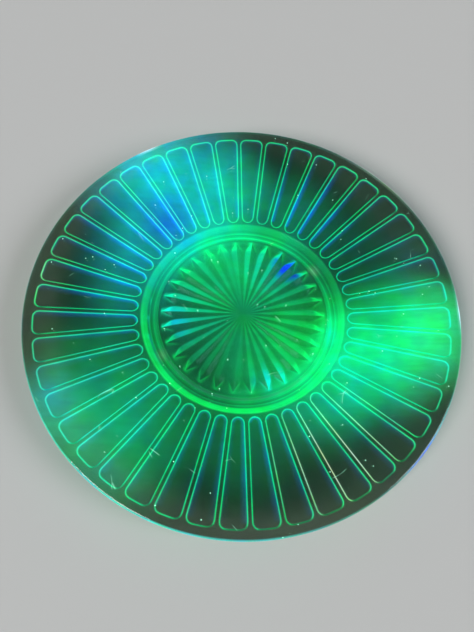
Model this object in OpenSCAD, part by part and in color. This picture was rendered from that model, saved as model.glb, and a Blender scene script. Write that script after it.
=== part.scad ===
// A pressed glass plate, moulded in one piece: a shallow well with a star of
// grooves under its floor, a wide flange that climbs to a rounded rim and
// carries a ring of raised panels underneath, and a foot ring to stand on.
// The origin is the centre of the plane that the foot ring rests on, +Z up.

/* [Plate] */
// Diameter over the rim
plate_d = 216; // [190:1:240]
// Angle that the top of the flange climbs at, in degrees
flange_rise = 7.7; // [6:0.1:10]
// Thickness of the glass at the rim
rim_t = 3; // [2.4:0.1:4]

/* [Well] */
// Diameter of the well where its wall meets the flange
well_d = 107; // [104:1:112]
// Diameter of the floor inside the well
floor_d = 95; // [92:1:98]
// Height of the well's wall above the floor
well_depth = 2.4; // [1.8:0.1:4]
// Thickness of the glass in the floor
floor_t = 3.6; // [2.8:0.1:5]

/* [Foot ring] */
// Height of the floor's underside above the resting plane
foot_h = 3.2; // [2.4:0.1:4]
// Outer diameter of the face that rests
foot_outer_d = 96; // [95:0.5:98]
// Inner diameter of the face that rests
foot_inner_d = 91.4; // [90:0.2:93]
// Diameter where the foot ring's inner wall meets the floor
foot_root_d = 87.2; // [86:0.2:89]
// Diameter where the foot ring's outer wall meets the flange
foot_shoulder_d = 104; // [102:0.5:106]
// Height of that outer meeting line above the resting plane
foot_shoulder_h = 5.3; // [5:0.1:6]

/* [Panels under the flange] */
// Number of panels
panel_count = 44; // [36:1:48]
// How far a panel stands proud of the flange
panel_h = 0.55; // [0.3:0.05:0.8]
// Diameter of the circle through the panels' inner ends
panel_inner_d = 108; // [107:1:112]
// Diameter of the circle through the panels' outer ends
panel_outer_d = 207.2; // [180:0.2:208]
// Width of the rib of plain glass between two panels
rib_w = 2.05; // [1.6:0.05:2.6]
// Radius of a panel's outer corners
panel_corner_r = 3; // [2:0.1:4]
// Turn of the ring of panels about the axis, in degrees
panel_turn = -3.21; // [-8:0.01:8]

/* [Star under the floor] */
// Number of grooves in the star
ray_count = 30; // [24:1:36]
// Diameter of the circle through the tips
ray_tip_d = 84.4; // [78:0.2:85]
// Diameter at which a groove is widest and deepest
ray_wide_d = 73; // [66:0.5:76]
// Depth of a groove where it is deepest
ray_depth = 1.2; // [0.6:0.1:1.6]
// Width of a groove as a share of the room it has
ray_share = 0.87; // [0.7:0.01:0.92]
// Diameter of the plain spot where the grooves run out
ray_spot_d = 4; // [2:0.2:6]
// Turn of the star about the axis, in degrees
ray_turn = -1.48; // [-6:0.01:6]

/* [Hidden] */
$fn = 180;

floor_z = foot_h + floor_t;
knee = [well_d / 2, floor_z + well_depth];
foot_shoulder = [foot_shoulder_d / 2, foot_shoulder_h];

// The rim is nearly a full round, with a hair of flat left between its arcs.
rim_r = 0.48 * rim_t;
rim_top_radius = plate_d / 2 - rim_t * sin(flange_rise)
    - rim_r * (1 - cos(flange_rise) - sin(flange_rise));
rim_top = [rim_top_radius, knee.y + (rim_top_radius - knee.x) * tan(flange_rise)];
rim_under = rim_top + rim_t * [sin(flange_rise), -cos(flange_rise)];

// Radii of the bends and edges of the section.
floor_bend_r = 6;
knee_bend_r = 8;
shoulder_bend_r = 3;
foot_edge_r = 0.9;
foot_root_r = 1;
bend_steps = 8;

// The cone that the underside of the flange follows.
under_slope = (rim_under.y - foot_shoulder.y) / (rim_under.x - foot_shoulder.x);

// Half the angle and half the rib between two panels.
half_pitch = 180 / panel_count;
half_rib = rib_w / 2;
panel_end_x = (panel_inner_d / 2 - half_rib) / (1 - sin(half_pitch));
panel_end_r = panel_end_x * sin(half_pitch) - half_rib;
corner_orbit = panel_outer_d / 2 - panel_corner_r;
corner_angle = half_pitch - asin((half_rib + panel_corner_r) / corner_orbit);
corner_steps = 5;
end_steps = 10;
// How deep a panel is rooted in the flange.
panel_root = 0.4;
// A height that clears the whole plate.
clear_h = 30;

// A groove's cutter hangs this far below the floor's underside.
cutter_drop = 0.02;

function unit(v) = v / norm(v);

function polar(r, a) = [r * cos(a), r * sin(a)];

function turned(v, a) = [v.x * cos(a) - v.y * sin(a), v.x * sin(a) + v.y * cos(a)];

function mirrored(p) = [p.x, -p.y, p.z];

// Where the line from p through q, which lies on the floor, leaves a cutter.
function hung(p, q) = p + (q - p) * (p.z + cutter_drop) / p.z;

// Points of an arc about a centre, both ends included.
function arc(centre, r, from, to, steps) =
    [for (i = [0:steps]) centre + polar(r, from + (to - from) * i / steps)];

// The corner at b between a and c, rounded to radius r.
function bend(a, b, c, r) =
    let (
        u = unit(a - b),
        v = unit(c - b),
        half = acos(u * v) / 2,
        centre = b + unit(u + v) * r / sin(half),
        start = b + u * r / tan(half) - centre,
        turn = sign(cross(b - a, c - b)) * (180 - 2 * half)
    )
    [for (i = [0:bend_steps]) centre + turned(start, turn * i / bend_steps)];

// A corner of the section is [point, radius]; radius 0 leaves it sharp.
section_corners = [
    [[0, foot_h], 0],
    [[foot_root_d / 2, foot_h], foot_root_r],
    [[foot_inner_d / 2, 0], foot_edge_r],
    [[foot_outer_d / 2, 0], foot_edge_r],
    [foot_shoulder, shoulder_bend_r],
    [rim_under, rim_r],
    [rim_top, rim_r],
    [knee, knee_bend_r],
    [[floor_d / 2, floor_z], floor_bend_r],
    [[0, floor_z], 0]
];

function section_points(corners) = [
    for (i = [0:len(corners) - 1])
        each corners[i][1] == 0
            ? [corners[i][0]]
            : bend(corners[i - 1][0], corners[i][0], corners[i + 1][0], corners[i][1])
];

function under_z(r) = foot_shoulder.y + (r - foot_shoulder.x) * under_slope;

// A panel's outline: a wedge along +X with a full-round inner end, rounded
// outer corners and an outer side that follows the rim.
panel_outline = concat(
    arc(
        polar(corner_orbit, -corner_angle), panel_corner_r,
        -half_pitch - 90, -corner_angle, corner_steps
    ),
    arc(
        polar(corner_orbit, corner_angle), panel_corner_r,
        corner_angle, half_pitch + 90, corner_steps
    ),
    arc([panel_end_x, 0], panel_end_r, half_pitch + 90, 270 - half_pitch, end_steps)
);

module section_solid() {
    rotate_extrude()
        polygon(section_points(section_corners));
}

// A thin shell under the flange, as deep as the panels and their roots.
module panel_shell() {
    inner = panel_inner_d / 2 - 1;
    outer = panel_outer_d / 2 + 1;
    rotate_extrude()
        polygon([
            [inner, under_z(inner) - panel_h],
            [outer, under_z(outer) - panel_h],
            [outer, under_z(outer) + panel_root],
            [inner, under_z(inner) + panel_root]
        ]);
}

module panels() {
    intersection() {
        panel_shell();
        for (k = [0:panel_count - 1])
            rotate(panel_turn + k * 2 * half_pitch)
                linear_extrude(clear_h)
                    polygon(panel_outline);
    }
}

// The cutter for one groove, along +X: a V that widens and deepens from the
// centre, then closes to a point in two short facets. It hangs a hair below
// the floor, so that it cuts cleanly.
module ray_cutter() {
    ray_angle = ray_share * 180 / ray_count;
    spot_r = ray_spot_d / 2;
    deepest = [ray_wide_d / 2, 0, ray_depth];
    start = [spot_r, 0, ray_depth * spot_r / deepest.x];
    side = hung(deepest, [each polar(deepest.x, ray_angle), 0]);
    tip = hung(deepest, [ray_tip_d / 2, 0, 0]);
    back = [spot_r, side.y - (side.x - spot_r) * tan(ray_angle), side.z];
    polyhedron(
        [start, deepest, tip, side, mirrored(side), back, mirrored(back)],
        [[0, 5, 3, 1], [0, 1, 4, 6], [1, 3, 2], [1, 2, 4], [6, 4, 2, 3, 5], [0, 6, 5]]
    );
}

module star_grooves() {
    for (k = [0:ray_count - 1])
        rotate(ray_turn + k * 360 / ray_count)
            translate([0, 0, foot_h])
                ray_cutter();
}

module dish() {
    color([0.16, 0.85, 0.32, 0.6])
        union() {
            difference() {
                section_solid();
                star_grooves();
            }
            panels();
        }
}

dish();
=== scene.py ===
"""A plate of pressed uranium glass, with a painted green glow, on a plain pale floor.

The plate is one piece of glass, so it is one closed mesh. Its section turned about Z gives the well, the
flange's top, the rim and the foot ring. A band of raised panels under the flange and a star of grooves under
the floor are meshed along their own outlines. Lengths are in millimetres until the mesh is made.
"""
import math

import bmesh
import bpy
import numpy as np
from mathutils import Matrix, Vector


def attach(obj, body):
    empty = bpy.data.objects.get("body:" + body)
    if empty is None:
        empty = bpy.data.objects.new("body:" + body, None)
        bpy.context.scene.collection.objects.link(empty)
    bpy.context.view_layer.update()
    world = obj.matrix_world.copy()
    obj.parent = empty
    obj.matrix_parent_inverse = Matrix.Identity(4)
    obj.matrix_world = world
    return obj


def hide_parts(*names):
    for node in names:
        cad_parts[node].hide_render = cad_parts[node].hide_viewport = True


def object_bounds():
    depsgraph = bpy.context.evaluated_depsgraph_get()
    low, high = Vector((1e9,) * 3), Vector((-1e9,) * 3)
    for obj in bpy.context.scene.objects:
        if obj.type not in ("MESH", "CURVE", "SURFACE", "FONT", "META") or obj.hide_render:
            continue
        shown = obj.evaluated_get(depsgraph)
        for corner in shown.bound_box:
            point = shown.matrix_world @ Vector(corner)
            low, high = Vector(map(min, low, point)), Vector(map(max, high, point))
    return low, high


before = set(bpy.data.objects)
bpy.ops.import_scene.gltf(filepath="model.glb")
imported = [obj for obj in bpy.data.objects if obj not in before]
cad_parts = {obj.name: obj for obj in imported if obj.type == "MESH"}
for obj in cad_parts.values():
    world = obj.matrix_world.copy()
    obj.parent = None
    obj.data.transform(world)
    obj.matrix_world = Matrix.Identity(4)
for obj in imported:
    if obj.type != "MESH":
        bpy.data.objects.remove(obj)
cad_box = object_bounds()

MM = 0.001

# The plate's radius over its rim, from the frame.
PLATE_R = (cad_box[1][0] - cad_box[0][0]) / 2 / MM

# The section, as in the part's design.
FLANGE_RISE = math.radians(7.7)
RIM_T = 3.0
KNEE = np.array([53.5, 9.2])
FLOOR_Z = 6.8
FLOOR_R = 47.5
FOOT_H = 3.2
FOOT_ROOT_R = 43.6
FOOT_INNER_R = 45.7
FOOT_OUTER_R = 48.0
FOOT_SHOULDER = np.array([52.0, 5.3])

# Radii of the section's bends.
FLOOR_BEND = 6.0
KNEE_BEND = 8.0
SHOULDER_BEND = 3.0
FOOT_EDGE = 0.9
FOOT_ROOT = 1.0
RIM_ROUND = 0.48 * RIM_T

# The panels under the flange.
PANELS = 44
PANEL_H = 0.55
PANEL_TURN = math.radians(-3.21)
PANEL_INNER_R = 54.0
PANEL_OUTER_R = 103.6
HALF_RIB = 1.025
CORNER_R = 3.0
HALF_PITCH = math.pi / PANELS

# The star under the floor.
RAYS = 30
RAY_TURN = math.radians(-1.48)
RAY_WIDE_R = 36.5
RAY_TIP_R = 42.2
RAY_DEPTH = 1.2
RAY_SHARE = 0.87
HALF_RAY = math.pi / RAYS

# How finely the mesh is cut: steps along a panel's side, round each of its ends, and round the whole plate.
SIDE_STEPS = 12
END_STEPS = 12
SEGMENTS = PANELS * END_STEPS


def unit(v):
    return v / np.linalg.norm(v)


def polar(r, angle):
    return np.array([r * math.cos(angle), r * math.sin(angle)])


def smooth(t):
    """0 to 1 as t goes from 0 to 1, with a soft start and end."""
    t = min(max(t, 0.0), 1.0)
    return t * t * (3 - 2 * t)


def bump(x, middle, width):
    """1 at the middle, falling away on both sides over about the width."""
    return math.exp(-(((x - middle) / width) ** 2))


def between(a, b, steps):
    """Points on the line from a to b, both ends left out."""
    return [a + (b - a) * i / steps for i in range(1, steps)]


def arc(centre, r, start, end, steps):
    """Points of an arc, both ends included."""
    return [centre + polar(r, a) for a in np.linspace(start, end, steps + 1)]


def bend(a, b, c, r, steps):
    """The corner at b between a and c, rounded to radius r."""
    u = unit(a - b)
    v = unit(c - b)
    half = math.acos(np.dot(u, v)) / 2
    centre = b + unit(u + v) * r / math.sin(half)
    first = b + u * r / math.tan(half) - centre
    last = b + v * r / math.tan(half) - centre
    start = math.atan2(first[1], first[0])
    turn = math.remainder(math.atan2(last[1], last[0]) - start, math.tau)
    return arc(centre, r, start, start + turn, steps)


# The kinds of painted light that the glass gives off as glow: from its body, the steps round the panels, the
# painted glints on the steps, the painted violet reflection inside them, the foot's wall, the thin rings
# inside it, the rim, and the star's facets and tips.
LIGHTS = ("body", "line", "glint", "violet", "foot", "ring", "rim", "facet", "tip")


def shares(**given):
    """How much of each painted light a point has, in the order of LIGHTS."""
    return tuple(given.get(light, 0.0) for light in LIGHTS)


class Surface:
    """Points and faces of a mesh in the making.

    Each point has its shares of the painted lights in LIGHTS.
    """

    def __init__(self):
        self.points = []
        self.shares = []
        self.faces = []

    def add(self, points, share):
        """Adds points, with one set of shares for them all or a list of one each; returns their numbers."""
        first = len(self.points)
        self.points.extend(points)
        self.shares.extend(share if isinstance(share, list) else [share] * len(points))
        return list(range(first, len(self.points)))

    def strip(self, a, b, closed=True):
        """Quads between two rows of the same length."""
        count = len(a)
        for i in range(count if closed else count - 1):
            j = (i + 1) % count
            self.faces.append((a[i], a[j], b[j], b[i]))

    def fan(self, row, tip, closed=True):
        """Triangles from a row to one point."""
        count = len(row)
        for i in range(count if closed else count - 1):
            self.faces.append((row[i], row[(i + 1) % count], tip))

    def zipper(self, a, b):
        """Triangles between two closed rings, each in order of angle, with different numbers of points."""
        start = self.turns(a)[0]
        ahead = [(t - start) % math.tau for t in self.turns(b)]
        nearest = ahead.index(min(ahead))
        b = b[nearest:] + b[:nearest]
        ahead = ahead[nearest:] + ahead[:nearest]
        next_a = [(t - start) % math.tau for t in self.turns(a)[1:]] + [math.tau]
        next_b = ahead[1:] + [math.tau + ahead[0]]
        i = j = 0
        while i < len(a) or j < len(b):
            if i < len(a) and (j == len(b) or next_a[i] <= next_b[j]):
                self.faces.append((a[i], a[(i + 1) % len(a)], b[j % len(b)]))
                i += 1
            else:
                self.faces.append((a[i % len(a)], b[(j + 1) % len(b)], b[j]))
                j += 1

    def turns(self, row):
        """Angles of the points of a row about Z."""
        return [math.atan2(self.points[i][1], self.points[i][0]) for i in row]


# The body's painted glow comes from the star's grooves, and past the star mostly from the top.
STAR_BODY = 2.7
UNDER_BODY = 0.3
STAR_EDGE_R = 41.5
STAR_FADE = 2.5
STAR = shares(body=STAR_BODY)
UNDER = shares(body=UNDER_BODY)
TOP = shares()


def past_star(r):
    """0 over the star, 1 outside it."""
    return smooth((r - STAR_EDGE_R) / STAR_FADE)


def under_body(r):
    """Share of the body's painted glow on the underside."""
    return STAR_BODY + (UNDER_BODY - STAR_BODY) * past_star(r)


def ring(r, z, count=SEGMENTS, turn=PANEL_TURN - HALF_PITCH):
    """Points of a level ring; the default count and turn line up with the panels' ribs."""
    angles = turn + np.arange(count) * math.tau / count
    return [(r * math.cos(a), r * math.sin(a), z) for a in angles]


# ---------------------------------------------------------------- the section

# The rim's top corner and the corner under it, placed so that the rounded rim just reaches PLATE_R.
RIM_SLIP = RIM_T * math.sin(FLANGE_RISE) + RIM_ROUND * (1 - math.cos(FLANGE_RISE) - math.sin(FLANGE_RISE))
RIM_TOP = np.array([PLATE_R - RIM_SLIP, 0.0])
RIM_TOP[1] = KNEE[1] + (RIM_TOP[0] - KNEE[0]) * math.tan(FLANGE_RISE)
RIM_UNDER = RIM_TOP + RIM_T * np.array([math.sin(FLANGE_RISE), -math.cos(FLANGE_RISE)])
UNDER_SLOPE = (RIM_UNDER[1] - FOOT_SHOULDER[1]) / (RIM_UNDER[0] - FOOT_SHOULDER[0])

# The band under the flange that holds the panels.
BAND_INNER_R = 53.35
BAND_OUTER_R = 104.7

# The rings across the top of the flange, and the radii of those across the floor. The last few have fewer
# points, each given with its radius.
FLANGE_RINGS = 14
FLOOR_RINGS = (44.0, 38.5, 33.0, 27.5, 22.0)
MIDDLE_RINGS = ((264, 17.0), (132, 12.0), (66, 7.5), (33, 3.5))


def under_z(r):
    """Height of the flange's plain underside."""
    return FOOT_SHOULDER[1] + (r - FOOT_SHOULDER[0]) * UNDER_SLOPE


def foot_section():
    """Points of the section from just outside the star to the panels' band."""
    root = np.array([FOOT_ROOT_R, FOOT_H])
    inner = np.array([FOOT_INNER_R, 0.0])
    outer = np.array([FOOT_OUTER_R, 0.0])
    start = np.array([STAR_OUTER_R, FOOT_H])
    points = [start]
    points += bend(start, root, inner, FOOT_ROOT, 6)
    points += bend(root, inner, outer, FOOT_EDGE, 6)
    points += bend(inner, outer, FOOT_SHOULDER, FOOT_EDGE, 6)
    shoulder = bend(outer, FOOT_SHOULDER, RIM_UNDER, SHOULDER_BEND, 8)
    points += between(points[-1], shoulder[0], 5)
    return points + shoulder


def top_section():
    """Points of the section from the panels' band, round the rim and over the top, to the floor's middle."""
    floor = np.array([FLOOR_R, FLOOR_Z])
    points = bend(FOOT_SHOULDER, RIM_UNDER, RIM_TOP, RIM_ROUND, 8)
    points += bend(RIM_UNDER, RIM_TOP, KNEE, RIM_ROUND, 8)
    points += [KNEE + (RIM_TOP - KNEE) * share for share in np.linspace(0.96, 0.08, FLANGE_RINGS)]
    points += bend(RIM_TOP, KNEE, floor, KNEE_BEND, 6)
    points += bend(KNEE, floor, np.array([0.0, FLOOR_Z]), FLOOR_BEND, 8)
    points += [np.array([r, FLOOR_Z]) for r in FLOOR_RINGS]
    return points


# ----------------------------------------------------------------- the panels

# The step round a panel: how far outside and inside its outline it reaches, and the rings that it is cut in.
STEP_OUT = 0.42
STEP_IN = 0.5
STEP_RINGS = 8
# The innermost ring of a panel, inside its outline, and the points between its two sides.
PANEL_INSET = 1.15
PANEL_COLUMNS = 3
# The painted bright line on a step: its place outside the outline, and its width.
LINE_OUT = -0.05
LINE_WIDTH = 0.25
# The painted violet reflection: the width over which it rises from the step's outside, how far inside the
# outline it ends, and the width over which it fades before that.
VIOLET_RISE = 0.6
VIOLET_END = 2.2
VIOLET_FADE = 1.8
# The radius past which a panel's outer end begins.
OUTER_END_R = 97
# The ways, about Z, that these face: the steps with the painted violet reflection, the steps with painted
# glints, and the outer ends with painted shade, hardly any light.
VIOLET_FROM = math.radians(80)
GLINT_FROM = math.radians(200)
DIM_FROM = math.radians(290)

INNER_END_X = (PANEL_INNER_R - HALF_RIB) / (1 - math.sin(HALF_PITCH))
INNER_END_R = INNER_END_X * math.sin(HALF_PITCH) - HALF_RIB
CORNER_ORBIT = PANEL_OUTER_R - CORNER_R
CORNER_ANGLE = HALF_PITCH - math.asin((HALF_RIB + CORNER_R) / CORNER_ORBIT)


def panel_loop(out):
    """Points of the panel's outline, moved outwards, from the inner end on; the panel lies along +X."""
    quarter = math.pi / 2
    third = END_STEPS // 3
    end_middle = np.array([INNER_END_X, 0.0])
    low_corner = polar(CORNER_ORBIT, -CORNER_ANGLE)
    high_corner = polar(CORNER_ORBIT, CORNER_ANGLE)
    end = arc(end_middle, INNER_END_R + out, quarter + HALF_PITCH, 3 * quarter - HALF_PITCH, END_STEPS)
    low = arc(low_corner, CORNER_R + out, -HALF_PITCH - quarter, -CORNER_ANGLE, third)
    side = arc(np.zeros(2), PANEL_OUTER_R + out, -CORNER_ANGLE, CORNER_ANGLE, third)
    high = arc(high_corner, CORNER_R + out, CORNER_ANGLE, HALF_PITCH + quarter, third)
    outer = low + side[1:] + high[1:]
    return end + between(end[-1], outer[0], SIDE_STEPS) + outer + between(outer[-1], end[0], SIDE_STEPS)


def step_height(out):
    """How far a step's ring stands proud of the flange."""
    return PANEL_H * smooth((STEP_OUT - out) / (STEP_OUT + STEP_IN))


def step_shares(loop, out, turn):
    """Painted light round a step: a line with glints and shade, and violet reflection inside it on one side.
    """
    line = bump(out, LINE_OUT, LINE_WIDTH)
    inside = smooth((STEP_OUT - out) / VIOLET_RISE) * smooth((out + VIOLET_END) / VIOLET_FADE)
    given = []
    for i, p in enumerate(loop):
        along = loop[(i + 1) % len(loop)] - loop[i - 1]
        facing = math.atan2(along[1], along[0]) + turn - math.pi / 2
        caught = smooth((math.cos(facing - VIOLET_FROM) + 0.2) / 0.4)
        glint = smooth((math.cos(facing - GLINT_FROM) - 0.3) / 0.5)
        outer_end = smooth((np.linalg.norm(p) - OUTER_END_R) / 4)
        dim = smooth((math.cos(facing - DIM_FROM) - 0.75) / 0.2) * outer_end
        lit = line * (1 - 0.7 * dim)
        given.append(shares(body=UNDER_BODY, line=lit, glint=line * glint, violet=inside * caught))
    return given


def placed(points, turn, height=0.0):
    """Points of a plan turned about Z and laid on the flange's underside, that much lower."""
    c, s = math.cos(turn), math.sin(turn)
    return [(c * x - s * y, s * x + c * y, under_z(math.hypot(x, y)) - height) for x, y in points]


def add_panels(surface, inner, outer):
    """The band of panels between two whole rings, each of SEGMENTS points."""
    ribs = []
    for k in range(PANELS):
        turn = PANEL_TURN + (2 * k - 1) * HALF_PITCH
        line = between(polar(BAND_INNER_R, 0.0), polar(BAND_OUTER_R, 0.0), SIDE_STEPS)
        ribs.append(surface.add(placed(line, turn), UNDER))
    offsets = [*np.linspace(STEP_OUT, -STEP_IN, STEP_RINGS + 1), -PANEL_INSET]
    for k in range(PANELS):
        turn = PANEL_TURN + 2 * k * HALF_PITCH
        after = (k + 1) % PANELS
        first = k * END_STEPS
        arc_in = [inner[(first + i) % SEGMENTS] for i in range(END_STEPS + 1)]
        arc_out = [outer[(first + i) % SEGMENTS] for i in range(END_STEPS + 1)]
        row = arc_in[::-1] + ribs[k] + arc_out + ribs[after][::-1]
        for out in offsets:
            plan = panel_loop(out)
            loop = surface.add(placed(plan, turn, step_height(out)), step_shares(plan, out, turn))
            surface.strip(row, loop)
            row = loop
        fill_panel(surface, row)


def fill_panel(surface, loop):
    """Closes a panel's inside with rungs from one half of its loop to the other."""
    middle = END_STEPS // 2
    half = len(loop) // 2
    left = [loop[(middle - i) % len(loop)] for i in range(half + 1)]
    right = [loop[(middle + i) % len(loop)] for i in range(half + 1)]
    rows = []
    for a, b in zip(left[1:-1], right[1:-1], strict=True):
        pa = Vector(surface.points[a])
        pb = Vector(surface.points[b])
        mids = []
        for i in range(1, PANEL_COLUMNS + 1):
            p = pa.lerp(pb, i / (PANEL_COLUMNS + 1))
            mids.append((p.x, p.y, under_z(math.hypot(p.x, p.y)) - PANEL_H))
        rows.append([a, *surface.add(mids, UNDER), b])
    surface.fan(rows[0], left[0], closed=False)
    for low, high in zip(rows, rows[1:]):
        surface.strip(low, high, closed=False)
    surface.fan(rows[-1], left[-1], closed=False)


# ------------------------------------------------------------------- the star

STAR_OUTER_R = 42.75
# Radii of the star's rings, and the columns across half a groove: first coarse, near the middle, then fine.
COARSE_RINGS = (2.4, 3.4, 4.8, 6.6)
FINE_RINGS = (
    7.4, 10, 14, 18, 22, 26, 29.5, 32.5, 34.6, 35.8,
    36.6, 37.4, 38.3, 39.2, 40.0, 40.7, 41.3, 41.8, 42.2,
)
COARSE_CUTS = (0.4, 0.75, 1.0)
FINE_CUTS = (0.05, 0.3, 0.55, 0.8, 0.93, 1.0)
# The way, about Z, that the grooves' facets with painted light climb, and how far it swings on the star's
# right side.
FACET_LIT = math.radians(270)
LIT_SWING = math.radians(40)
# Steepness of a groove's sides.
SIDE_STEEPNESS = 0.36
# How much darker painted shade makes an unlit facet, and how bright the painted line round a groove's tip is.
SHADE = 0.42
TIP_LINE = 0.5
# The radii past which that painted line and the painted light on the tips begin.
TIP_LINE_R = 35
TIP_R = 36
# How far the grooves' corners, middles and edges are rounded, in depth.
CORNER_SOFT = 0.2
MIDDLE_SOFT = 0.05
EDGE_SOFT = 0.03


def least(a, b, soft):
    """The smaller of two depths, with the crease between them rounded."""
    return -soft * math.log(math.exp(-a / soft) + math.exp(-b / soft))


def groove_bed(x, y):
    """Height of the facets of a groove along +X over a point of its plan; below 0 outside it."""
    edge = RAY_SHARE * HALF_RAY
    wide = polar(RAY_WIDE_R, edge)
    along = unit(np.array([RAY_TIP_R, 0.0]) - wide)
    side_slope = RAY_DEPTH / (RAY_WIDE_R * math.sin(edge))
    end_slope = RAY_DEPTH / ((RAY_TIP_R - RAY_WIDE_R) * -along[1])
    halves = []
    for side in (1, -1):
        side_facet = side_slope * (x * math.sin(edge) - side * y * math.cos(edge))
        end_facet = end_slope * ((RAY_TIP_R - x) * -along[1] - side * y * along[0])
        halves.append(least(side_facet, end_facet, CORNER_SOFT))
    return least(*halves, MIDDLE_SOFT)


def groove_depth(x, y):
    """Depth of the groove, with its edges softened."""
    bed = groove_bed(x, y)
    depth = EDGE_SOFT * math.log1p(math.exp(bed / EDGE_SOFT)) if bed < 1 else bed
    return depth * smooth((math.hypot(x, y) - 1.5) / 3)


def lit_way(turn):
    """The way that the facets with painted light climb, in the groove at an angle about Z."""
    return FACET_LIT + LIT_SWING * math.sin(turn) * smooth((math.cos(turn) + 0.35) / 0.45)


def groove_shares(x, y, turn):
    """Painted light and shade on a groove: its lit facets, its shaded ones, and the thin line round its tip.
    """
    step = 0.05
    slope = np.array([
        groove_depth(x + step, y) - groove_depth(x - step, y),
        groove_depth(x, y + step) - groove_depth(x, y - step),
    ]) / (2 * step)
    way = turn + math.atan2(slope[1], slope[0])
    steep = min(np.linalg.norm(slope) / SIDE_STEEPNESS, 1.0)
    facing = steep * math.cos(way - lit_way(turn))
    r = math.hypot(x, y)
    lit = max(facing, 0.0)
    body = under_body(r) * (1 + SHADE * min(facing, 0.0))
    edge = TIP_LINE * bump(groove_bed(x, y), 0.04, 0.1) * smooth((r - TIP_LINE_R) / 4)
    tip = lit ** 0.7 * smooth((r - TIP_R) / 3)
    return shares(body=body, facet=lit * (0.5 + 0.5 * smooth(r / 34)), tip=min(tip + edge, 1.0))


def star_columns(r, cuts):
    """Angles across one ray at a radius, from just past its low side to its border with the next ray."""
    closing = np.clip((RAY_TIP_R - r) / (RAY_TIP_R - RAY_WIDE_R), 0.04, 1.0)
    edge = RAY_SHARE * HALF_RAY * closing
    halves = [edge * c for c in cuts]
    if len(cuts) > 3:
        halves.append((edge + HALF_RAY) / 2)
    return [-a for a in halves[::-1]] + [0.0] + halves + [HALF_RAY]


def star_ring(surface, r, cuts):
    """One ring of the star, through all its grooves."""
    points = []
    given = []
    for k in range(RAYS):
        turn = RAY_TURN + 2 * k * HALF_RAY
        for a in star_columns(r, cuts):
            x, y = polar(r, a)
            points.append((r * math.cos(turn + a), r * math.sin(turn + a), FOOT_H + groove_depth(x, y)))
            given.append(groove_shares(x, y, turn))
    return surface.add(points, given)


def add_star(surface):
    """The floor's underside out to the star's outer ring, which it gives back."""
    middle = surface.add([(0.0, 0.0, FOOT_H)], STAR)[0]
    spot = surface.add(ring(0.7, FOOT_H, 15, 0.0), STAR)
    row = surface.add(ring(1.5, FOOT_H, 60, 0.0), STAR)
    surface.fan(spot, middle)
    surface.zipper(spot, row)
    for cuts, rings in ((COARSE_CUTS, COARSE_RINGS), (FINE_CUTS, FINE_RINGS)):
        loop = star_ring(surface, rings[0], cuts)
        surface.zipper(row, loop)
        row = loop
        for r in rings[1:]:
            loop = star_ring(surface, r, cuts)
            surface.strip(row, loop)
            row = loop
    outer = surface.add(ring(STAR_OUTER_R, FOOT_H), shares(body=under_body(STAR_OUTER_R)))
    surface.zipper(row, outer)
    return outer


# ------------------------------------------------------------------ the plate

# Where the painted glow on the foot's outer wall starts, and the thin painted rings of light inside it:
# radius, width and brightness.
FOOT_WALL_R = 49.3
FOOT_RINGS = ((FOOT_ROOT_R, 0.2, 0.28), (45.9, 0.3, 0.6), (48.1, 0.25, 0.4))
# Width of the rim's edge with painted light.
RIM_EDGE = 1.1


def turned_rings(surface, row, section, light):
    """Rings of a turned section, joined on after a row; gives back the last one."""
    for r, z in section:
        loop = surface.add(ring(r, z), light(r, z))
        surface.strip(row, loop)
        row = loop
    return row


def foot_shares(r, _):
    """Painted glow on the foot's outer wall, with thin painted rings at its inner wall's root and at its
    edges.
    """
    wall = smooth((r - FOOT_WALL_R) / 0.8) * smooth((FOOT_SHOULDER[0] + 1 - r) / 0.9)
    rings = sum(bright * bump(r, middle, width) for middle, width, bright in FOOT_RINGS)
    inside = 0.22 * smooth((r - 43.4) / 1.2) * smooth((50.0 - r) / 1.0)
    return shares(body=under_body(r), foot=wall, ring=min(rings + inside, 1.0))


def rim_shares(r, z):
    """Painted light on the rim's rounded edge, the body's painted glow on the top and a little of it
    underneath.
    """
    top = smooth((z - under_z(r) - 1.2) / 1.2)
    edge = smooth((r - (PLATE_R - RIM_EDGE)) / 0.9)
    return shares(body=UNDER_BODY + (past_star(r) - UNDER_BODY) * top, rim=edge)


def make_plate():
    surface = Surface()
    row = add_star(surface)
    row = turned_rings(surface, row, foot_section()[1:], foot_shares)
    inner = surface.add(ring(BAND_INNER_R, under_z(BAND_INNER_R)), UNDER)
    surface.strip(row, inner)
    outer = surface.add(ring(BAND_OUTER_R, under_z(BAND_OUTER_R)), UNDER)
    add_panels(surface, inner, outer)
    row = turned_rings(surface, outer, top_section(), rim_shares)
    for count, r in MIDDLE_RINGS:
        loop = surface.add(ring(r, FLOOR_Z, count), TOP)
        surface.zipper(row, loop)
        row = loop
    surface.fan(row, surface.add([(0.0, 0.0, FLOOR_Z)], TOP)[0])
    return mesh_object("glass_dish", surface)


def mesh_object(name, surface):
    """A smooth-shaded object from a surface, in metres, with its painted light as the points' colour."""
    mesh = bpy.data.meshes.new(name)
    mesh.from_pydata([tuple(c * MM for c in p) for p in surface.points], [], surface.faces)
    light = mesh.attributes.new("light", "FLOAT_COLOR", "POINT")
    light.data.foreach_set("color", painted_light_colours(surface).ravel())
    turn_outwards(mesh)
    mesh.polygons.foreach_set("use_smooth", [True] * len(mesh.polygons))
    piece = bpy.data.objects.new(name, mesh)
    bpy.context.scene.collection.objects.link(piece)
    return piece


def turn_outwards(mesh):
    """Turns every face's normal outwards."""
    bm = bmesh.new()
    bm.from_mesh(mesh)
    bmesh.ops.recalc_face_normals(bm, faces=bm.faces)
    bm.to_mesh(mesh)
    bm.free()
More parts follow.
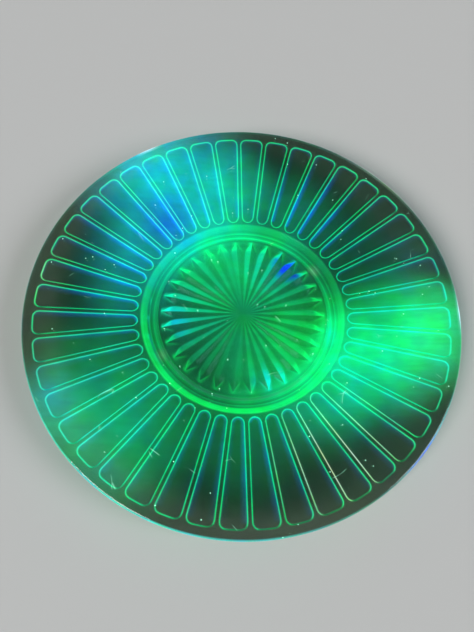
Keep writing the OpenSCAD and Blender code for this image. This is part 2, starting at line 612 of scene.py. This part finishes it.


# --------------------------------------------------------------- the material

# The colours of each kind of painted light, as soft round pools of painted light that add up and fall
# unevenly, as a lamp's light would. Each pool has the direction and distance of its centre from the axis, in
# degrees and millimetres, its reach and its colour. A reach of EVERYWHERE gives an even painted light.
EVERYWHERE = 400
PAINTED_LIGHT_POOLS = {
    "body": (
        (0, 0, EVERYWHERE, (0.0, 0.015, 0.005)),
        (-11, 76, 44, (0.0, 0.57, 0.12)),
        (-4, 98, 30, (0.0, 0.44, 0.1)),
        (-28, 66, 38, (0.0, 0.34, 0.16)),
        (118, 82, 60, (0.0, 0.38, 0.42)),
        (122, 100, 30, (0.0, 0.16, 0.16)),
        (128, 64, 22, (0.0, -0.14, 0.18)),
        (96, 72, 34, (0.0, 0.23, 0.08)),
        (156, 62, 36, (0.0, 0.17, 0.17)),
        (182, 64, 26, (0.0, 0.07, 0.04)),
        (68, 62, 34, (0.0, 0.11, 0.05)),
        (222, 84, 54, (0.0, 0.29, 0.1)),
        (208, 106, 26, (0.0, 0.14, 0.09)),
        (207, 98, 14, (0.0, 0.0, 0.1)),
        (195, 88, 24, (0.0, 0.06, 0.01)),
        (270, 62, 38, (0.0, 0.09, 0.03)),
        (308, 58, 34, (0.0, 0.25, 0.1)),
        (38, 62, 40, (0.0, 0.035, 0.02)),
        (15, 90, 30, (0.0, 0.03, 0.03)),
        (-17, 98, 20, (0.0, 0.14, 0.05)),
        (0, 0, 50, (0.0, 0.18, 0.05)),
        (60, 28, 32, (0.0, 0.1, 0.03)),
        (-22, 36, 34, (0.0, 0.32, 0.03)),
        (112, 36, 36, (0.0, 0.32, 0.07)),
        (285, 32, 30, (0.0, 0.2, 0.04)),
    ),
    "line": (
        (0, 0, EVERYWHERE, (0.0, 2.9, 0.85)),
        (122, 78, 70, (0.3, -0.3, -0.1)),
        (212, 90, 60, (0.1, -1.1, 0.5)),
        (-6, 82, 60, (0.0, -1.6, 0.6)),
    ),
    # Painted glints on the steps.
    "glint": (
        (300, 85, 40, (3.0, 0.4, 1.6)),
        (170, 100, 20, (0.8, 0.3, 0.2)),
    ),
    # A painted violet reflection inside the steps.
    "violet": (
        (0, 0, EVERYWHERE, (0.0, 0.1, 0.3)),
        (130, 66, 60, (0.0, 0.0, 1.5)),
        (60, 66, 34, (0.0, 0.0, 2.3)),
        (170, 66, 40, (0.0, 0.1, 1.2)),
        (270, 68, 40, (0.0, 0.2, 0.6)),
    ),
    "foot": (
        (0, 0, EVERYWHERE, (0.0, 0.55, 0.1)),
        (255, 50, 80, (0.0, 1.7, 0.15)),
        (80, 50, 40, (0.0, 0.35, 0.1)),
        (122, 50, 16, (0.0, -0.4, 0.6)),
        (330, 50, 45, (0.0, 1.0, 0.14)),
        (135, 50, 45, (0.0, 0.6, 0.5)),
        (190, 50, 30, (0.0, 0.7, 0.12)),
    ),
    "ring": (
        (0, 0, EVERYWHERE, (0.0, 1.9, 0.4)),
        (-10, 46, 30, (0.0, 0.8, 0.2)),
        (-13, 46, 14, (0.0, 0.2, 1.5)),
        (88, 46, 45, (0.0, 2.5, 0.6)),
        (128, 46, 30, (0.0, 1.0, 1.2)),
        (-38, 46, 40, (0.0, 1.0, 0.15)),
        (245, 46, 50, (0.0, -0.85, -0.2)),
        # Painted glints on the rings.
        (34, 46, 5, (1.2, 0.5, 0.6)),
        (208, 46, 5, (0.8, 0.3, 0.3)),
    ),
    "rim": (
        (0, 0, EVERYWHERE, (0.03, 0.16, 0.12)),
        (245, 108, 120, (0.0, 0.55, 0.5)),
        (45, 108, 40, (0.3, 0.25, 0.25)),
        (322, 108, 36, (0.0, 0.3, 0.35)),
        # Painted reflection and painted glints on the rim.
        (-42, 108, 16, (0.0, -0.3, 0.6)),
        (-2, 108, 12, (0.8, 0.7, 1.2)),
        (119, 108, 9, (1.2, 0.9, 1.4)),
    ),
    "facet": (
        (0, 0, EVERYWHERE, (0.0, 0.37, 0.1)),
        (0, 0, 22, (0.0, 0.3, 0.12)),
        (175, 30, 34, (0.0, 0.83, 0.5)),
        (186, 35, 14, (0.0, 0.0, 1.1)),
        (75, 30, 30, (0.0, 0.83, 0.65)),
        (49, 37, 12, (0.0, -2.4, 2.6)),
        (291, 39, 13, (0.0, 0.9, 2.0)),
    ),
    "tip": (
        (0, 0, EVERYWHERE, (0.0, 1.75, 0.3)),
        (175, 38, 20, (0.0, 0.45, 1.0)),
        (292, 38, 18, (0.0, 0.3, 1.2)),
    ),
}


def pooled(place, pools):
    """The colour that painted pools of light make at each place."""
    total = np.zeros((len(place), 3))
    for azimuth, r, reach, colour in pools:
        away = np.linalg.norm(place - polar(r, math.radians(azimuth)), axis=1)
        near = np.clip(1 - away / reach, 0, 1) if reach < EVERYWHERE else np.ones(len(place))
        total += (near * near * (3 - 2 * near))[:, None] * colour
    return total


def painted_light_colours(surface):
    """The colour of the painted light that each point gives, with an alpha of 1."""
    place = np.array([p[:2] for p in surface.points])
    share = np.array(surface.shares)
    colours = np.ones((len(place), 4), np.float32)
    lights = (share[:, [i]] * pooled(place, PAINTED_LIGHT_POOLS[light]) for i, light in enumerate(LIGHTS))
    colours[:, :3] = np.clip(sum(lights), 0, None)
    return colours


class Graph:
    """Short ways to add shader nodes to a material."""

    def __init__(self, name):
        self.material = bpy.data.materials.new(name)
        self.material.use_nodes = True
        self.nodes = self.material.node_tree.nodes
        self.links = self.material.node_tree.links
        self.shader = self.nodes["Principled BSDF"]
        self.output = self.nodes["Material Output"]

    def node(self, kind, **settings):
        made = self.nodes.new("ShaderNode" + kind)
        for key, value in settings.items():
            setattr(made, key, value)
        return made

    def feed(self, socket, value):
        """Links an output to an input, or sets the input's own value."""
        if isinstance(value, bpy.types.NodeSocket):
            self.links.new(value, socket)
        else:
            socket.default_value = value

    def math(self, operation, a, b):
        made = self.node("Math", operation=operation)
        self.feed(made.inputs[0], a)
        self.feed(made.inputs[1], b)
        return made.outputs["Value"]

    def vector(self, operation, a, b):
        made = self.node("VectorMath", operation=operation)
        self.feed(made.inputs[0], a)
        self.feed(made.inputs[1], b)
        return made.outputs["Vector"]

    def scaled(self, vector, by):
        made = self.node("VectorMath", operation="SCALE")
        self.feed(made.inputs[0], vector)
        self.feed(made.inputs["Scale"], by)
        return made.outputs["Vector"]

    def ramp(self, value, low, high, to_low=0.0, to_high=1.0):
        """A value smoothly mapped from one range to another."""
        made = self.node("MapRange", interpolation_type="SMOOTHSTEP")
        for socket, number in zip(made.inputs, (value, low, high, to_low, to_high)):
            self.feed(socket, number)
        return made.outputs["Result"]

    def noise(self, vector, scale, detail=2.0):
        made = self.node("TexNoise")
        self.feed(made.inputs["Vector"], vector)
        made.inputs["Scale"].default_value = scale
        made.inputs["Detail"].default_value = detail
        return made.outputs["Fac"]

    def spots(self, vector, scale, size):
        """Sparse small dots, in two cells out of five: 1 inside one, 0 outside."""
        cells = self.node("TexVoronoi")
        self.feed(cells.inputs["Vector"], vector)
        cells.inputs["Scale"].default_value = scale
        near = self.ramp(cells.outputs["Distance"], size, 0.4 * size)
        split = self.node("SeparateColor")
        self.feed(split.inputs["Color"], cells.outputs["Color"])
        chosen = self.math("GREATER_THAN", split.outputs["Red"], 0.6)
        return self.math("MULTIPLY", near, chosen)

    def scratches(self, vector):
        """Short fine scratches, along bits of the bent edges of cells: 1 on one, 0 beside it."""
        wobble = self.node("TexNoise")
        self.feed(wobble.inputs["Vector"], vector)
        wobble.inputs["Scale"].default_value = 30.0
        bent = self.node("VectorMath", operation="MULTIPLY_ADD")
        self.feed(bent.inputs[0], wobble.outputs["Color"])
        bent.inputs[1].default_value = (0.012, 0.012, 0.0)
        self.feed(bent.inputs[2], vector)
        cells = self.node("TexVoronoi", feature="DISTANCE_TO_EDGE")
        self.feed(cells.inputs["Vector"], bent.outputs["Vector"])
        cells.inputs["Scale"].default_value = 55.0
        line = self.ramp(cells.outputs["Distance"], 0.009, 0.002)
        return self.math("MULTIPLY", line, self.ramp(self.noise(vector, 80.0), 0.62, 0.7))


GLASS_IOR = 1.52
GLASS_GREEN = np.array([0.22, 0.34, 0.31])
# The grey of the glass in painted shade.
PAINTED_SHADE_GREY = np.array([0.24, 0.19, 0.16])
ABSORBED = (0.45, 0.65, 0.66, 1.0)
ABSORPTION_DENSITY = 400.0
# Painted glints on real dust specks and fine scratches.
PAINTED_DUST_GLINT = (1.2, 2.6, 1.9)
PAINTED_SCRATCH_GLINT = (0.15, 0.35, 0.25)


def glass_tint(graph, plan, light):
    """Green glass, turned to a grey painted shade where the flange's painted light is faint."""
    brightness = graph.node("RGBToBW")
    graph.feed(brightness.inputs["Color"], light)
    unlit = graph.ramp(brightness.outputs["Val"], 0.2, 0.015)
    from_axis = graph.node("VectorMath", operation="LENGTH")
    graph.feed(from_axis.inputs[0], plan)
    flange = graph.ramp(from_axis.outputs["Value"], 0.05, 0.056)
    painted_shade = graph.scaled(tuple(PAINTED_SHADE_GREY - GLASS_GREEN), graph.math("MULTIPLY", unlit, flange))
    return graph.vector("ADD", painted_shade, tuple(GLASS_GREEN))


def glow(graph, plan, light):
    """The points' painted light, clouded, varied in streaks, and with painted glints on dust and scratches.
    """
    clouds = graph.node("CombineXYZ")
    graph.feed(clouds.inputs["X"], 1.0)
    graph.feed(clouds.inputs["Y"], graph.ramp(graph.noise(plan, 70.0, 5.0), 0.3, 0.7, 0.85, 1.14))
    graph.feed(clouds.inputs["Z"], graph.ramp(graph.noise(plan, 90.0, 5.0), 0.3, 0.7, 1.25, 0.75))
    clouded = graph.vector("MULTIPLY", light, clouds.outputs["Vector"])
    streaks = graph.noise(graph.vector("MULTIPLY", plan, (60, 420, 1)), 1.0, 3.0)
    streaked_glow = graph.scaled(clouded, graph.ramp(streaks, 0.3, 0.7, 0.93, 1.06))
    glow_with_dust_glints = graph.vector("ADD", streaked_glow, graph.scaled(PAINTED_DUST_GLINT, graph.spots(plan, 260.0, 0.065)))
    return graph.vector("ADD", glow_with_dust_glints, graph.scaled(PAINTED_SCRATCH_GLINT, graph.scratches(plan)))


def add_waves(graph, coordinates):
    """The slight waves of a pressed and fire-polished surface."""
    waves = graph.node("Bump")
    waves.inputs["Strength"].default_value = 0.25
    waves.inputs["Distance"].default_value = 0.0003
    graph.feed(waves.inputs["Height"], graph.noise(coordinates, 45.0))
    graph.feed(graph.shader.inputs["Normal"], waves.outputs["Normal"])


def glass_material():
    graph = Graph("uranium_glass")
    glass = graph.shader
    glass.inputs["IOR"].default_value = GLASS_IOR
    glass.inputs["Transmission Weight"].default_value = 1.0
    glass.inputs["Emission Strength"].default_value = 1.0
    absorb = graph.node("VolumeAbsorption")
    absorb.inputs["Color"].default_value = ABSORBED
    absorb.inputs["Density"].default_value = ABSORPTION_DENSITY
    graph.feed(graph.output.inputs["Volume"], absorb.outputs["Volume"])

    coordinates = graph.node("TexCoord").outputs["Object"]
    plan = graph.vector("MULTIPLY", coordinates, (1, 1, 0))
    # The points' painted light, kept in their colour attribute.
    light = graph.node("Attribute", attribute_name="light").outputs["Color"]
    # The base colour carries painted shade where the flange's painted light is faint.
    graph.feed(glass.inputs["Base Color"], glass_tint(graph, plan, light))
    # The emission is painted light: glow, glints and reflections.
    graph.feed(glass.inputs["Emission Color"], glow(graph, plan, light))
    smudges = graph.ramp(graph.noise(plan, 60.0, 5.0), 0.42, 0.75, 0.012, 0.07)
    graph.feed(glass.inputs["Roughness"], smudges)
    add_waves(graph, coordinates)
    return graph.material


# ------------------------------------------------------------------ the stage

# In metres from here on. The floor lies a hair below the foot ring.
FLOOR_SIZE = 30.0
FLOOR_DROP = 0.0002
FLOOR_COLOUR = (0.62, 0.62, 0.61, 1.0)
SKY_COLOUR = (0.92, 0.96, 1.0, 1.0)
# The sky's brightness at the horizon, its brightness overhead, and the height at which it gets to that.
HORIZON = 0.5
OVERHEAD = 0.12
DIM_FROM_HEIGHT = 0.6
LAMP_WIDTH = math.radians(28)
# The camera: its focal length in millimetres, its turns about X, Y and Z in degrees, and its place from the
# middle of the rim, in rim radii.
CAMERA_LENS = 30.5
CAMERA_TURNS = (22.18, -1.87, -0.44)
CAMERA_PLACE = Vector((-0.113, -0.9716, 2.2595))


def make_floor():
    bpy.ops.mesh.primitive_plane_add(size=FLOOR_SIZE, location=(0, 0, -FLOOR_DROP))
    floor = bpy.context.object
    floor.name = "floor"
    material = bpy.data.materials.new("pale_floor")
    material.use_nodes = True
    shader = material.node_tree.nodes["Principled BSDF"]
    shader.inputs["Base Color"].default_value = FLOOR_COLOUR
    shader.inputs["Roughness"].default_value = 0.7
    floor.data.materials.append(material)


def soft_lamp(name, place, strength, colour):
    """A far lamp in the direction of a place, as wide in the sky as a studio soft box."""
    light = bpy.data.lights.new(name, "SUN")
    light.angle = LAMP_WIDTH
    light.energy = strength
    light.color = colour
    lamp = bpy.data.objects.new(name, light)
    lamp.location = place
    lamp.rotation_euler = Vector(place).to_track_quat("Z", "Y").to_euler()
    bpy.context.scene.collection.objects.link(lamp)


def make_world():
    """A studio that is pale near the floor and dim overhead."""
    world = bpy.data.worlds.new("studio")
    world.use_nodes = True
    nodes = world.node_tree.nodes
    links = world.node_tree.links
    split = nodes.new("ShaderNodeSeparateXYZ")
    links.new(nodes.new("ShaderNodeTexCoord").outputs["Generated"], split.inputs["Vector"])
    height = nodes.new("ShaderNodeMapRange")
    height.interpolation_type = "SMOOTHSTEP"
    links.new(split.outputs["Z"], height.inputs["Value"])
    height.inputs["From Max"].default_value = DIM_FROM_HEIGHT
    height.inputs["To Min"].default_value = HORIZON
    height.inputs["To Max"].default_value = OVERHEAD
    background = nodes["Background"]
    background.inputs["Color"].default_value = SKY_COLOUR
    links.new(height.outputs["Result"], background.inputs["Strength"])
    bpy.context.scene.world = world


def make_lights():
    make_world()
    soft_lamp("key", (-0.7, -0.6, 0.8), 2.0, (1.0, 0.98, 0.95))
    soft_lamp("fill", (0.9, -0.3, 0.6), 1.4, (0.9, 0.95, 1.0))


def make_camera():
    """The camera at the photograph's viewing angle, looking down into the well from the front."""
    camera = bpy.data.cameras.new("camera")
    camera.lens = CAMERA_LENS
    camera.sensor_width = 36.0
    eye = bpy.data.objects.new("camera", camera)
    rim_z = RIM_UNDER[1] + RIM_ROUND
    eye.location = (CAMERA_PLACE * PLATE_R + Vector((0, 0, rim_z))) * MM
    eye.rotation_euler = [math.radians(turn) for turn in CAMERA_TURNS]
    bpy.context.scene.collection.objects.link(eye)
    bpy.context.scene.camera = eye


make_camera()
make_floor()
make_lights()
bpy.context.scene.view_settings.view_transform = "Standard"

plate = make_plate()
plate.data.materials.append(glass_material())
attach(plate, "root")
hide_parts("dish")
